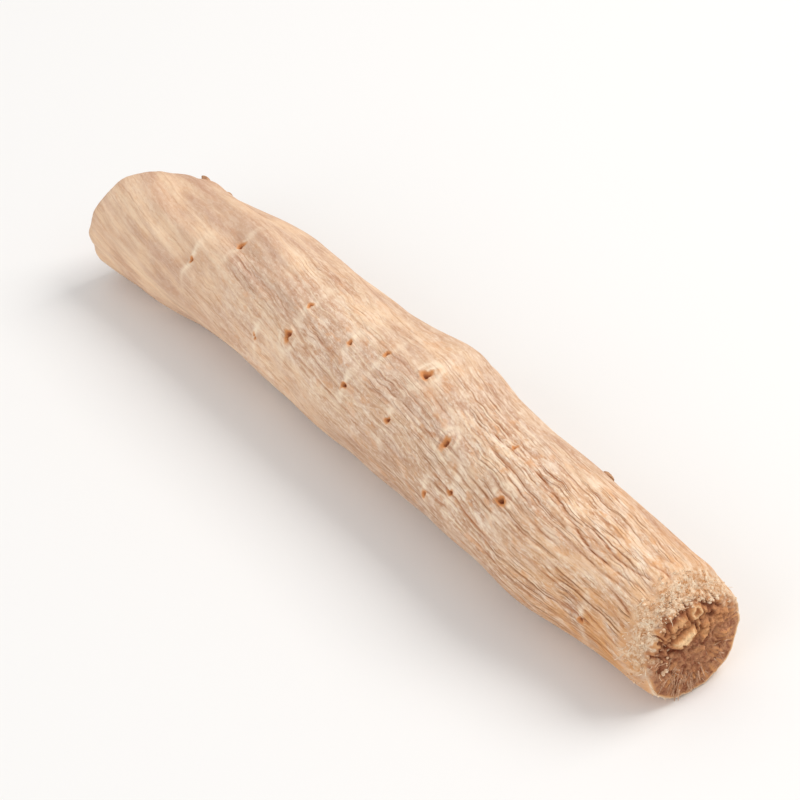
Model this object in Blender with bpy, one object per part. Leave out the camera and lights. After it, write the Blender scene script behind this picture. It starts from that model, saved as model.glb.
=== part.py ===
"""A dried achyranthes root, cut across at both ends and lying on its side.

Run it with blender --background --python part.py. Metres, +Z up. The root
lies along X, with its torn end at +X. The origin is on the surface that
the root lies on, under the middle of its box.
"""

import math
import random

import bmesh
import bpy
from mathutils import Vector, noise

MM = 0.001
NAME = "achyranthes_root"

# Driving sizes. The root is one grown piece, so everything else follows them.
LENGTH = 130 * MM
BOX_MIDDLE_X = 0.61 * MM
BOX_MIDDLE_Y = 1.2 * MM

# Stations along the root, from the far cut to the torn end: share of the
# length, then in millimetres the sideways place of the middle, half the
# width and half the height.
STATIONS = (
    (0.00, 0.0, 8.4, 8.0),
    (0.08, 1.4, 9.2, 8.7),
    (0.20, 2.6, 9.9, 9.4),
    (0.35, 2.2, 10.2, 9.7),
    (0.50, 1.9, 10.7, 10.1),
    (0.58, 1.8, 10.6, 10.0),
    (0.68, 0.5, 10.2, 9.7),
    (0.80, -0.3, 10.4, 9.9),
    (0.92, 0.7, 9.2, 8.8),
    (1.00, 0.0, 9.0, 8.5),
)

# The underside touches the surface at three low places, pressed flat there
# as it dried, and arches a little between them.
FIRST_LOW_SHARE = 0.12
LOW_SPACING = 0.38
FLAT_DEPTH = 0.45 * MM
ARCH_HEIGHT = 0.75 * MM

# Swellings of the bark: share of the length, angle round the root in degrees
# (0 is +Y, 90 is up), length and width, and height, in millimetres.
SWELLINGS = (
    (0.06, 52, 10, 9, 0.9),
    (0.55, 40, 9, 10, 1.0),
    (0.75, 118, 3.5, 3.0, 0.5),
    (0.86, 60, 8, 6, 0.4),
    (0.30, 250, 12, 7, 0.5),
    (0.66, 310, 9, 8, 0.6),
    (0.99, 312, 7, 6, 0.5),
    (0.50, 217, 6, 6, -0.4),
    (0.75, 217, 8, 6, -0.5),
)

# Each end is cut a little askew: how far the cut runs along X for each unit
# sideways and for each unit up, fading out over SLANT_REACH. The far cut is
# worn round its rim and has lost a chip from it.
FAR_SLANT = (0.08, 0.0)
TORN_SLANT = (-0.06, -0.045)
SLANT_REACH = 14 * MM
RIM_DEPTH = 1.0 * MM
RIM_REACH = 1.3 * MM
CHIP_ANGLE = math.radians(62)
CHIP_WIDTH = math.radians(24)
CHIP_DEPTH = 1.8 * MM
CHIP_REACH = 7 * MM

# The torn end has crumbled away on its upper left, round CRUMBLE_ANGLE: in
# from the rim along the bark, and back from the rim across the cut. Inside
# that is a crevice, then a plug of wood with two lumps. For each lump: its
# sideways and upward place, half its length and width, its tilt in degrees,
# its height and where its upper side is cut off flat, in millimetres.
CRUMBLE_ANGLE = math.radians(120)
CRUMBLE_DEPTH = 2.0 * MM
CRUMBLE_REACH = 5.0 * MM
CRUMBLE_BACK = 1.5
PLUG_REACH = 0.79
PLUG_HEIGHT = 0.7
CREVICE_DEPTH = 0.9
LUMPS = (
    (-1.3, 1.9, 2.2, 1.9, 15, 1.2, 0.15),
    (-2.0, 4.2, 1.6, 0.9, 22, 0.9, 0.6),
)

# Folds of the dried bark. They wind round the root, fastest at the far end:
# the turn for each millimetre, the extra turn there and where it has faded.
TURN = math.radians(0.6)
FAR_TURN = math.radians(2.3)
FAR_TURN_SHARE = 0.14
FOLD_SIZES = ((4.5, 24.0, 0.45), (2.3, 14.0, 0.35))

# Scars where rootlets grew: share of the length, angle in degrees and width
# in millimetres. Those on the far side follow a rule instead.
SEEN_SCARS = (
    (0.18, 142, 2.0),
    (0.23, 108, 2.4),
    (0.33, 164, 2.0),
    (0.38, 113, 1.8),
    (0.38, 143, 3.0),
    (0.46, 116, 2.0),
    (0.49, 145, 2.2),
    (0.51, 105, 2.0),
    (0.57, 146, 2.0),
    (0.57, 100, 3.2),
    (0.66, 128, 2.8),
    (0.66, 174, 2.2),
    (0.70, 156, 2.2),
    (0.73, 95, 2.0),
    (0.77, 133, 2.8),
    (0.91, 176, 2.0),
)
HIDDEN_SCARS = 11
HIDDEN_SCAR_SEED = 7
HIDDEN_ANGLES = (225, 395)
SCAR_LIP = 0.3 * MM
SCAR_PIT = 0.9 * MM

# The mesh: points round the root, rings along it and rings on each cut face.
COLUMNS = 92
RINGS = 46
FAR_RINGS = 4
TORN_RINGS = 8
END_CROWDING = 0.4


def clear_scene():
    for obj in list(bpy.data.objects):
        bpy.data.objects.remove(obj, do_unlink=True)


def smooth_step(value):
    value = min(1.0, max(0.0, value))
    return value * value * (3 - 2 * value)


def station(share):
    """Sideways place, half width and half height at a share of the length."""
    last = len(STATIONS) - 1
    i = 0
    while i < last - 1 and share > STATIONS[i + 1][0]:
        i += 1
    before = STATIONS[max(i - 1, 0)]
    start, end = STATIONS[i], STATIONS[i + 1]
    after = STATIONS[min(i + 2, last)]
    gap = end[0] - start[0]
    t = (share - start[0]) / gap
    values = []
    for k in (1, 2, 3):
        leave = (end[k] - before[k]) / (end[0] - before[0]) * gap
        arrive = (after[k] - start[k]) / (after[0] - start[0]) * gap
        values.append(
            (2 * t**3 - 3 * t**2 + 1) * start[k]
            + (t**3 - 2 * t**2 + t) * leave
            + (3 * t**2 - 2 * t**3) * end[k]
            + (t**3 - t**2) * arrive
        )
    return [value * MM for value in values]


def clearance(share):
    """Height of the underside, which is negative where it is pressed flat."""
    phase = math.tau * (share - FIRST_LOW_SHARE) / LOW_SPACING
    return ARCH_HEIGHT * (1 - math.cos(phase)) / 2 - FLAT_DEPTH


def turn(share):
    """How far the folds have wound round the root, from the far end on."""
    run = LENGTH / MM
    faded = 1 - math.exp(-share / FAR_TURN_SHARE)
    return run * (TURN * share + FAR_TURN * FAR_TURN_SHARE * faded)


def folds(share, angle):
    """Rounded folds with sharp creases between them, along the winding bark."""
    start = angle - turn(share)
    height = 0.0
    for size, stretch, rise in FOLD_SIZES:
        place = Vector((math.cos(start), math.sin(start), 0)) * (10.0 / size)
        place.z = size + share * LENGTH / MM / stretch
        height += rise * (abs(noise.noise(place)) - 0.2)
    return height * MM


def angle_between(angle, other):
    return (angle - other + math.pi) % math.tau - math.pi


def bark_distance(share, angle, other_share, other_angle):
    """Lengthways and sideways distance on the bark between two points."""
    around = angle_between(angle, other_angle) * station(share)[1]
    return (share - other_share) * LENGTH, around


def swelling(share, angle):
    height = 0.0
    for place, degrees, length, width, rise in SWELLINGS:
        along, across = bark_distance(share, angle, place, math.radians(degrees))
        spread = (along / (length * MM)) ** 2 + (across / (width * MM)) ** 2
        height += rise * MM * math.exp(-2 * spread)
    return height


def hidden_scars():
    """Scars on the far side: stepped along the root, each moved at random."""
    draw = random.Random(HIDDEN_SCAR_SEED)
    low, high = HIDDEN_ANGLES
    for i in range(HIDDEN_SCARS):
        share = 0.08 + 0.82 * (i + draw.random()) / HIDDEN_SCARS
        yield share, low + (high - low) * draw.random(), 1.8 + draw.random()


def all_scars():
    return [
        (share, math.radians(degrees), width * MM)
        for share, degrees, width in (*SEEN_SCARS, *hidden_scars())
    ]


def scar(share, angle, scars):
    """A low lip round a pit, at each place where a rootlet broke away."""
    height = 0.0
    for place, around, width in scars:
        along, across = bark_distance(share, angle, place, around)
        far = math.hypot(1.3 * along, across) / (width / 2)
        if far < 2.5:
            height += SCAR_LIP * math.exp(-((far - 1.1) ** 2) / 0.18)
            height -= SCAR_PIT * math.exp(-(far**2) / 0.35)
    return height


def bell(value, width):
    return math.exp(-((value / width) ** 2))


def crumbling(angle):
    """How much of the torn rim has crumbled away: all of it on the upper left."""
    return smooth_step(0.5 + 1.1 * math.cos(angle - CRUMBLE_ANGLE))


def rim_wear(share, angle):
    """How far the bark is worn in towards the middle near either end."""
    far, near = share * LENGTH, (1 - share) * LENGTH
    round_rims = max(0, 1 - far / RIM_REACH) ** 2 + 0.25 * max(0, 1 - near / RIM_REACH) ** 2
    crumbled = crumbling(angle) * max(0, 1 - near / CRUMBLE_REACH) ** 2
    return RIM_DEPTH * round_rims + CRUMBLE_DEPTH * crumbled


def far_height(angle, reach):
    """How far the far cut stands out of its plane, in millimetres."""
    place = Vector((reach * math.cos(angle), reach * math.sin(angle), 0))
    rough = 0.4 * noise.noise(place * 2.6) + 0.25 * noise.noise(place * 6.1)
    height = 0.3 * bell(reach, 0.34) - 0.3 * bell(reach - 0.62, 0.16)
    return height + rough * (1 - reach**4) - 0.9 * smooth_step((reach - 0.8) / 0.2) ** 2


def lump(y, z, middle_y, middle_z, length, width, tilt, rise, flat):
    """A dome on the torn end, cut off flat along its upper side."""
    lean = math.radians(tilt)
    off_y, off_z = y - middle_y, z - middle_z
    along = (off_y * math.cos(lean) + off_z * math.sin(lean)) / length
    across = (off_z * math.cos(lean) - off_y * math.sin(lean)) / width
    off = max(math.hypot(along, across), 1 + (across - flat) * width)
    return rise * math.sqrt(max(0, 1 - off**2))


def torn_height(y, z, angle, reach):
    """How far the torn end stands out of its plane, in millimetres."""
    upper = crumbling(angle)
    plug = smooth_step((PLUG_REACH - reach) / 0.1)
    height = PLUG_HEIGHT * plug * (0.4 + 0.6 * upper)
    height -= CRUMBLE_BACK * upper * smooth_step((reach - PLUG_REACH) / (1 - PLUG_REACH))
    height -= CREVICE_DEPTH * upper * bell(reach - PLUG_REACH, 0.05)
    height += 0.35 * noise.noise(Vector((y, z, 5)) / 2.2) * (1 - reach**4)
    return height + sum(lump(y, z, *values) for values in LUMPS)


def surface_point(share, angle, reach, scars):
    """Where a point of the straight unit cylinder lies on the real root."""
    side, half_width, half_height = station(share)
    relief = folds(share, angle) + swelling(share, angle) - rim_wear(share, angle)
    if reach > 0.999:
        relief += scar(share, angle, scars)
    y = (half_width + relief) * math.cos(angle) * reach
    z = (half_height + relief) * math.sin(angle) * reach
    x = (share - 0.5) * LENGTH
    for slant, far in ((FAR_SLANT, share), (TORN_SLANT, 1 - share)):
        x += (slant[0] * y + slant[1] * z) * (1 - smooth_step(far * LENGTH / SLANT_REACH))
    chip = bell(angle_between(angle, CHIP_ANGLE), CHIP_WIDTH)
    fade = max(0, 1 - share * LENGTH / CHIP_REACH) ** 2
    x += CHIP_DEPTH * chip * fade * smooth_step(2 * reach - 1)
    if share > 0.999:
        x += torn_height(y / MM, z / MM, angle, reach) * MM
    elif reach < 0.999:
        x -= far_height(angle, reach) * MM
    height = clearance(share) + half_height + z
    return Vector((x - BOX_MIDDLE_X, side + y - BOX_MIDDLE_Y, max(0.0, height)))


def unit_cylinder():
    """A cylinder cut into rings, closer together towards its ends."""
    bm = bmesh.new()
    bmesh.ops.create_cone(
        bm, cap_ends=True, segments=COLUMNS, radius1=1, radius2=1, depth=1
    )
    ends = [face for face in bm.faces if len(face.verts) > 4]
    bmesh.ops.poke(bm, faces=ends)
    for end, cuts in ((-0.5, FAR_RINGS), (0.5, TORN_RINGS)):
        middle = Vector((0, 0, end))
        spokes = [e for e in bm.edges if min((v.co - middle).length for v in e.verts) < 0.01]
        bmesh.ops.subdivide_edges(bm, edges=spokes, cuts=cuts)
    for i in range(1, RINGS):
        even = i / RINGS
        share = even - END_CROWDING * math.sin(math.tau * even) / math.tau
        bmesh.ops.bisect_plane(
            bm,
            geom=bm.verts[:] + bm.edges[:] + bm.faces[:],
            plane_co=(0, 0, share - 0.5),
            plane_no=(0, 0, 1),
        )
    return bm


def cylinder_place(co):
    """Share of the length, angle and reach for a point of the unit cylinder.

    Its columns wind with the folds, and the rings of its ends sit closer
    together towards the rim.
    """
    share = co.z + 0.5
    return share, math.atan2(co.y, co.x) + turn(share), co.xy.length**0.6


def refine_scars(bm, scars):
    """Splits the faces round each scar and moves a point to its middle."""
    near = set()
    for face in bm.faces:
        share, angle, reach = cylinder_place(face.calc_center_median())
        if reach < 0.95:
            continue
        for place, around, width in scars:
            along, across = bark_distance(share, angle, place, around)
            if math.hypot(along, across) < 0.75 * width:
                near.update(face.edges)
    bmesh.ops.subdivide_edges(bm, edges=list(near), cuts=1, use_grid_fill=True)
    for place, around, _ in scars:
        start = around - turn(place)
        centre = Vector((math.cos(start), math.sin(start), place - 0.5))
        nearest = min(bm.verts, key=lambda vert: (vert.co - centre).length)
        nearest.co = centre


def make_material(name, colour, roughness):
    material = bpy.data.materials.new(name)
    material.use_nodes = True
    shader = material.node_tree.nodes["Principled BSDF"]
    shader.inputs["Base Color"].default_value = (*colour, 1)
    shader.inputs["Roughness"].default_value = roughness
    shader.inputs["Metallic"].default_value = 0
    return material


def make_root():
    scars = all_scars()
    bm = unit_cylinder()
    refine_scars(bm, scars)
    for face in bm.faces:
        face.material_index = int(max(v.co.xy.length for v in face.verts) < 0.97)
    for vert in bm.verts:
        vert.co = surface_point(*cylinder_place(vert.co), scars)
    mesh = bpy.data.meshes.new(NAME)
    bm.to_mesh(mesh)
    bm.free()
    mesh.materials.append(make_material("bark", (0.62, 0.43, 0.28), 0.85))
    mesh.materials.append(make_material("cut_face", (0.50, 0.33, 0.19), 0.9))
    mesh.shade_smooth()
    return bpy.data.objects.new(NAME, mesh)


def main():
    clear_scene()
    collection = bpy.data.collections.new(NAME)
    bpy.context.scene.collection.children.link(collection)
    collection.objects.link(make_root())


main()
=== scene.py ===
# %% [markdown]
# # A dried achyranthes root
#
# This scene dresses one dried root, cut across at both ends and lying on its side. The solid model
# comes in first and is never changed. A finer surface is then laid over it, with the creases, scars
# and torn end that the solid is too coarse for. Lengths are in metres, and the root lies along X.

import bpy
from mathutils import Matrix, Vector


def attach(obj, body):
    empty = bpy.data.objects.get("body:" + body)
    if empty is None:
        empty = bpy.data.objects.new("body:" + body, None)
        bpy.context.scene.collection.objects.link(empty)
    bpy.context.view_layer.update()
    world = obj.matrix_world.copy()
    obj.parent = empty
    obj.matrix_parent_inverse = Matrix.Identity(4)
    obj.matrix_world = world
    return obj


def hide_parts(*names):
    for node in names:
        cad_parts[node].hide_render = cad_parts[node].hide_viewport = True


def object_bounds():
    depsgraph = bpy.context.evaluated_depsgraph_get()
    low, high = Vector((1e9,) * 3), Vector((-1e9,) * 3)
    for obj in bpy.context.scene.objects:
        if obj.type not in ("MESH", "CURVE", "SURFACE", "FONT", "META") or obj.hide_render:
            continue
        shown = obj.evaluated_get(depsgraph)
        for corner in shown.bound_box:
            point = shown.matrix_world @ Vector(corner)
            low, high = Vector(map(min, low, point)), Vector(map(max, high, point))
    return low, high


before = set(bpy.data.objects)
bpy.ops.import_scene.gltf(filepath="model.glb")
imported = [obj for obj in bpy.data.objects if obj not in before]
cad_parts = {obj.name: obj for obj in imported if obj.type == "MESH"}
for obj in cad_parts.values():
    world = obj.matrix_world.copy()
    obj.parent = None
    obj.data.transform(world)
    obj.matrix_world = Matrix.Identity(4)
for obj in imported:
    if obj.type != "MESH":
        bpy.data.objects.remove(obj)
cad_low, cad_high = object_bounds()
print("The solid root measures", [round(1000 * side, 1) for side in cad_high - cad_low], "mm")

# %% [markdown]
# ## Where the camera stands
#
# The photograph looks down on the root from its torn end, past its left side. A camera can be aimed
# with angles, but aiming it at a point is easier to read: to_track_quat gives the turn that makes
# its -Z axis look along a direction. The root is near the left edge of a wide picture there, which
# leans it a little, so the camera is also rolled by a few degrees. A long lens fills the frame.

# %% Make the camera
import math

import bpy
from mathutils import Quaternion, Vector, noise

MM = 0.001
CAMERA_AT = Vector((0.3706, -0.2540, 0.3405))
CAMERA_ROLL = math.radians(-3.44)
CAMERA_LENS = 180


def in_scene(obj):
    """Links a new object to the scene and hands it back."""
    bpy.context.scene.collection.objects.link(obj)
    return obj


middle = (cad_low + cad_high) / 2
camera = in_scene(bpy.data.objects.new("camera", bpy.data.cameras.new("camera")))
camera.data.lens = CAMERA_LENS
camera.data.clip_start = 0.01
camera.location = CAMERA_AT
aim = (middle - CAMERA_AT).to_track_quat("-Z", "Y")
camera.rotation_mode = "QUATERNION"
camera.rotation_quaternion = aim @ Quaternion((0, 0, 1), CAMERA_ROLL)
bpy.context.scene.camera = camera
print("The camera is", round((middle - CAMERA_AT).length, 3), "m from the root")

# %% [markdown]
# ## A pale floor and soft light
#
# A studio table is one plain surface with light from large panels. A small lamp gives hard shadows
# and a large one gives soft ones, so each panel here is wider than the root is long. The main panel
# is behind and above the root: it brightens the top of the bark and leaves the torn end in shade.
# The Standard view transform keeps pale colours pale, where the default would grey them.

# %% Lay the floor
import bmesh

FLOOR_SIDE = 8.0
FLOOR_COLOUR = (0.86, 0.85, 0.84)
FLOOR_ROUGHNESS = 0.6


def node_material(name, colour, roughness):
    """A material with its Principled shader set to one plain finish, and that shader."""
    material = bpy.data.materials.new(name)
    material.use_nodes = True
    shader = material.node_tree.nodes["Principled BSDF"]
    shader.inputs["Base Color"].default_value = (*colour, 1)
    shader.inputs["Roughness"].default_value = roughness
    return material, shader


floor_mesh = bpy.data.meshes.new("floor")
bm = bmesh.new()
bmesh.ops.create_grid(bm, x_segments=1, y_segments=1, size=FLOOR_SIDE / 2)
bm.to_mesh(floor_mesh)
bm.free()
floor = in_scene(bpy.data.objects.new("floor", floor_mesh))
floor_mesh.materials.append(node_material("pale_floor", FLOOR_COLOUR, FLOOR_ROUGHNESS)[0])
print("The floor is", FLOOR_SIDE, "m wide")

# %% Hang the light panels
PANELS = (
    # name, place, side in metres, power in watts, colour
    ("back_panel", (0.15, 0.60, 0.75), 0.60, 6.0, (1.0, 0.97, 0.93)),
    ("front_panel", (0.20, -0.90, 0.60), 0.70, 3.0, (0.93, 0.96, 1.0)),
)
SKY_STRENGTH = 0.62

for name, place, side, power, colour in PANELS:
    light = bpy.data.lights.new(name, "AREA")
    light.shape = "SQUARE"
    light.size = side
    light.energy = power
    light.color = colour
    panel = in_scene(bpy.data.objects.new(name, light))
    panel.location = place
    panel.rotation_euler = (middle - panel.location).to_track_quat("-Z", "Y").to_euler()

world = bpy.data.worlds.new("studio")
world.use_nodes = True
world.node_tree.nodes["Background"].inputs["Color"].default_value = (1, 1, 1, 1)
world.node_tree.nodes["Background"].inputs["Strength"].default_value = SKY_STRENGTH
bpy.context.scene.world = world
bpy.context.scene.view_settings.view_transform = "Standard"
print("Hung", len(PANELS), "panels")

# %% [markdown]
# ## The root's main form
#
# The root is nearly round, a little wider than high, thickest past its middle and bowed sideways.
# These few stations and rules are the ones that the solid was made from, so that the finer surface
# lies on it. Between stations, a cubic curve keeps the outline smooth, as a bent spline would.

# %% Form: width, height and bow
LENGTH = 130 * MM
BOX_MIDDLE_X = 0.61 * MM
BOX_MIDDLE_Y = 1.2 * MM
STATIONS = (
    # share of the length, sideways place, half width and half height in millimetres
    (0.00, 0.0, 8.4, 8.0),
    (0.08, 1.4, 9.2, 8.7),
    (0.20, 2.6, 9.9, 9.4),
    (0.35, 2.2, 10.2, 9.7),
    (0.50, 1.9, 10.7, 10.1),
    (0.58, 1.8, 10.6, 10.0),
    (0.68, 0.5, 10.2, 9.7),
    (0.80, -0.3, 10.4, 9.9),
    (0.92, 0.7, 9.2, 8.8),
    (1.00, 0.0, 9.0, 8.5),
)


def station(share):
    """Sideways place, half width and half height at a share of the length."""
    last = len(STATIONS) - 1
    i = 0
    while i < last - 1 and share > STATIONS[i + 1][0]:
        i += 1
    before = STATIONS[max(i - 1, 0)]
    start, end = STATIONS[i], STATIONS[i + 1]
    after = STATIONS[min(i + 2, last)]
    gap = end[0] - start[0]
    t = (share - start[0]) / gap
    values = []
    for k in (1, 2, 3):
        leave = (end[k] - before[k]) / (end[0] - before[0]) * gap
        arrive = (after[k] - start[k]) / (after[0] - start[0]) * gap
        values.append(
            (2 * t**3 - 3 * t**2 + 1) * start[k]
            + (t**3 - 2 * t**2 + t) * leave
            + (3 * t**2 - 2 * t**3) * end[k]
            + (t**3 - t**2) * arrive
        )
    return [value * MM for value in values]


print("Halfway along, the root is", round(2000 * station(0.5)[1], 1), "mm wide")

# %% Form: the underside and the swellings
FIRST_LOW_SHARE = 0.12
LOW_SPACING = 0.38
FLAT_DEPTH = 0.45 * MM
ARCH_HEIGHT = 0.75 * MM
SWELLINGS = (
    # share of the length, angle in degrees, length, width and height in millimetres
    (0.06, 52, 10, 9, 0.9),
    (0.55, 40, 9, 10, 1.0),
    (0.75, 118, 3.5, 3.0, 0.5),
    (0.86, 60, 8, 6, 0.4),
    (0.30, 250, 12, 7, 0.5),
    (0.66, 310, 9, 8, 0.6),
    (0.99, 312, 7, 6, 0.5),
    (0.50, 217, 6, 6, -0.4),
    (0.75, 217, 8, 6, -0.5),
)


def clearance(share):
    """Height of the underside, which is negative where it is pressed flat."""
    phase = math.tau * (share - FIRST_LOW_SHARE) / LOW_SPACING
    return ARCH_HEIGHT * (1 - math.cos(phase)) / 2 - FLAT_DEPTH


def angle_between(angle, other):
    return (angle - other + math.pi) % math.tau - math.pi


def bark_distance(share, angle, other_share, other_angle):
    """Lengthways and sideways distance on the bark between two points."""
    around = angle_between(angle, other_angle) * station(share)[1]
    return (share - other_share) * LENGTH, around


def swelling(share, angle):
    height = 0.0
    for place, degrees, length, width, rise in SWELLINGS:
        along, across = bark_distance(share, angle, place, math.radians(degrees))
        spread = (along / (length * MM)) ** 2 + (across / (width * MM)) ** 2
        height += rise * MM * math.exp(-2 * spread)
    return height


print("The underside is pressed flat at", [round(FIRST_LOW_SHARE + LOW_SPACING * i, 2) for i in range(3)])

# %% [markdown]
# ## Folds and creases
#
# As a root dries, its skin wrinkles along the grain, and the grain winds round the root, fastest at
# the far end. Plain Perlin noise gives soft lumps, but its size, abs(noise), has a sharp valley
# wherever the noise passes through nought, and those valleys meet and part as wrinkles do. The
# noise is stretched along the grain and read round a circle, so the pattern has no seam.

# %% Folds that the solid has too
TURN = math.radians(0.6)
FAR_TURN = math.radians(2.3)
FAR_TURN_SHARE = 0.14
NOISE_RADIUS = 10.0
FOLD_SIZES = (
    # size across the grain, stretch along it and height, in millimetres
    (4.5, 24.0, 0.45),
    (2.3, 14.0, 0.35),
)


def smooth_step(value):
    """Rises smoothly from 0 to 1, as the value does."""
    value = min(1.0, max(0.0, value))
    return value * value * (3 - 2 * value)


def turn(share):
    """How far the folds have wound round the root, from the far end on."""
    run = LENGTH / MM
    faded = 1 - math.exp(-share / FAR_TURN_SHARE)
    return run * (TURN * share + FAR_TURN * FAR_TURN_SHARE * faded)


def grain_noise(share, start, size, stretch, layer):
    """Noise with lumps of this size across the grain and this stretch along it, in mm."""
    place = Vector((math.cos(start), math.sin(start), 0)) * (NOISE_RADIUS / size)
    place.z = layer + share * LENGTH / MM / stretch
    return noise.noise(place)


def folds(share, start):
    height = 0.0
    for size, stretch, rise in FOLD_SIZES:
        height += rise * (abs(grain_noise(share, start, size, stretch, size)) - 0.2)
    return height * MM


print("The grain turns by", round(math.degrees(turn(1))), "degrees from end to end")

# %% [markdown]
# ## Finer creases
#
# Between the folds lie thin creases, too fine for the solid. They run side by side with the grain,
# waver together and stop and start. So they begin as evenly spaced lines, which noise then pushes
# sideways, and each line has a noise of its own along it that says where it is open.

# %% Creases for this surface alone
CREASES = (
    # spacing, length of a crease, width and greatest depth, in millimetres
    (1.9, 14.0, 0.17, 0.34),
    (1.2, 9.0, 0.12, 0.22),
)
SWAYS = (
    # size across the grain, length along it and reach, in millimetres
    (5.0, 18.0, 2.0),
    (2.2, 5.0, 0.5),
    (1.1, 2.2, 0.14),
)
WRINKLED_BAND = (130, 55)
PLAIN_RIM = 2.2
DARKEST_DEPTH = 0.35


def bell(value, width):
    """1 at nought, and falling smoothly to 0 on both sides of it."""
    return math.exp(-((value / width) ** 2))


def band(angle, place):
    """1 along a band down the root, given as an angle and a width in degrees."""
    middle_angle, width = place
    return bell(angle_between(angle, math.radians(middle_angle)), math.radians(width))


def along_root(share, far, middle_value, near):
    """A value that changes smoothly from the far end over the middle to the torn end."""
    value = far + (middle_value - far) * smooth_step((share - 0.12) / 0.3)
    return value + (near - middle_value) * smooth_step((share - 0.55) / 0.25)


def wrinkling(share, angle, start):
    """How wrinkled the bark is: most on the upper side and near the torn end."""
    upper = 0.5 + 0.45 * band(angle, WRINKLED_BAND)
    patch = 0.7 + 0.4 * smooth_step(0.5 + 1.8 * grain_noise(share, start, 6.0, 16.0, 83))
    end = (1 - share) * LENGTH / MM + 2 * grain_noise(share, start, 3.0, 3.0, 31)
    return along_root(share, 0.15, 0.55, 1.0) * upper * patch * smooth_step((end - PLAIN_RIM) / 2.5)


def creases(share, start, wrinkled):
    """Depth of the creases in metres, and how dark they are painted as shade, from 0 to 1."""
    for size, stretch, reach in SWAYS:
        start += reach * grain_noise(share, start, size, stretch, 31) / NOISE_RADIUS
    depth = 0.0
    for spacing, length, width, deepest in CREASES:
        step = math.tau / round(math.tau * NOISE_RADIUS / spacing)
        own_angle = step * round(start / step)
        gap = abs(start - own_angle) * NOISE_RADIUS
        is_open = smooth_step(0.5 + 2.2 * grain_noise(share, own_angle, spacing, length, 9 * spacing))
        depth += deepest * wrinkled * is_open * math.exp(-gap / width)
    return depth * MM, min(1.0, depth / DARKEST_DEPTH)


def far_folds(share, start):
    """Broad low folds that only the smooth far third has, lower again at the very end."""
    fade = (0.4 + 0.6 * smooth_step(share / 0.08)) * (1 - smooth_step((share - 0.25) / 0.25))
    return fade * MM * grain_noise(share, start, 3.2, 22.0, 61)


print("The deepest creases are", round(CREASES[0][-1] + CREASES[1][-1], 2), "mm deep")

# %% [markdown]
# ## Scars
#
# Each scar is where a thin rootlet broke away: a small pit, wider round the root than along it, with
# a low lip of skin. The ones that can be seen are placed as on the real root. Those on the side
# that is turned away follow a seeded rule, so they fall in the same places at every run.

# %% Scars and their places
import random

SEEN_SCARS = (
    # share of the length, angle in degrees, width in millimetres
    (0.18, 142, 2.0),
    (0.23, 108, 2.4),
    (0.33, 164, 2.0),
    (0.38, 113, 1.8),
    (0.38, 143, 2.8),
    (0.46, 116, 2.0),
    (0.49, 145, 2.2),
    (0.51, 105, 2.0),
    (0.57, 146, 2.0),
    (0.57, 100, 3.0),
    (0.66, 128, 2.8),
    (0.66, 174, 2.2),
    (0.70, 156, 2.2),
    (0.73, 95, 2.0),
    (0.77, 133, 2.8),
    (0.91, 176, 2.0),
)
HIDDEN_SCARS = 11
HIDDEN_SCAR_SEED = 7
HIDDEN_SHARES = (0.08, 0.90)
HIDDEN_ANGLES = (225, 395)
THINNEST_SCAR = 1.8


def hidden_scars():
    """Scars at even steps along the hidden side, each shifted a little."""
    draw = random.Random(HIDDEN_SCAR_SEED)
    first, last = HIDDEN_SHARES
    low, high = HIDDEN_ANGLES
    for i in range(HIDDEN_SCARS):
        share = first + (last - first) * (i + draw.random()) / HIDDEN_SCARS
        yield share, low + (high - low) * draw.random(), THINNEST_SCAR + draw.random()


scars = [
    (share, math.radians(degrees), width * MM)
    for share, degrees, width in (*SEEN_SCARS, *hidden_scars())
]
print("Placed", len(scars), "scars")

# %% Scars as relief and stain
SCAR_LIP = 0.07
SCAR_PIT = 0.3
MARK_WIDTH = 0.5 * MM
MARK_REACH = 4.0 * MM
MARK_HEIGHT = 0.08 * MM
RINGED_WIDTH = 2.7 * MM


def scar_edge(along, across, place):
    """How ragged a scar's edge is: it has two or three blunt corners."""
    way = math.atan2(across, along)
    corners = 1 + 0.17 * math.cos(3 * way + 40 * place) + 0.15 * math.cos(2 * way + 90 * place)
    return corners + 0.6 * noise.noise(Vector((along, across, place)) / (0.7 * MM))


def scar(share, angle):
    """Height of the scars, how stained they are, and the pale marks round them."""
    height = stain = mark = 0.0
    for place, around, width in scars:
        if abs(share - place) * LENGTH > 1.5 * width:
            continue
        along, across = bark_distance(share, angle, place, around)
        if abs(across) > 2 * MARK_REACH:
            continue
        # a pale line that runs from the scar round the root
        sway = noise.noise(Vector((across, 0, place)) / (2.5 * MM))
        strength = 0.75 + noise.noise(Vector((place, around, 0)) * 40) + 0.6 * sway
        line = bell(along + 0.5 * MM * sway, MARK_WIDTH) * bell(across, MARK_REACH)
        mark = max(mark, min(1.0, line * max(0.0, strength)))
        # the pit, its lip and its stain, by the way out from its middle
        pit_radius = (0.4 * width - 0.32 * MM) * scar_edge(along, across, place)
        far = math.hypot(1.15 * along, across) / pit_radius
        lip = SCAR_LIP * bell(far - 1.4, 0.4)
        height += width * (lip - SCAR_PIT * (1 - smooth_step((far - 0.1) / 0.8)))
        stain = max(stain, 1 - smooth_step((far - 0.2) / 1.5))
        # the largest scars have a pale ring as well
        if width > RINGED_WIDTH:
            ring = bell(math.hypot(along, 0.7 * across) - 0.62 * width, 0.3 * MM)
            mark = max(mark, 0.7 * ring * smooth_step(0.8 + sway))
    return height + MARK_HEIGHT * mark, stain, mark


print("The widest scar's pit is", round(max(width for *_, width in scars) * SCAR_PIT / MM, 1), "mm deep")

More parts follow.
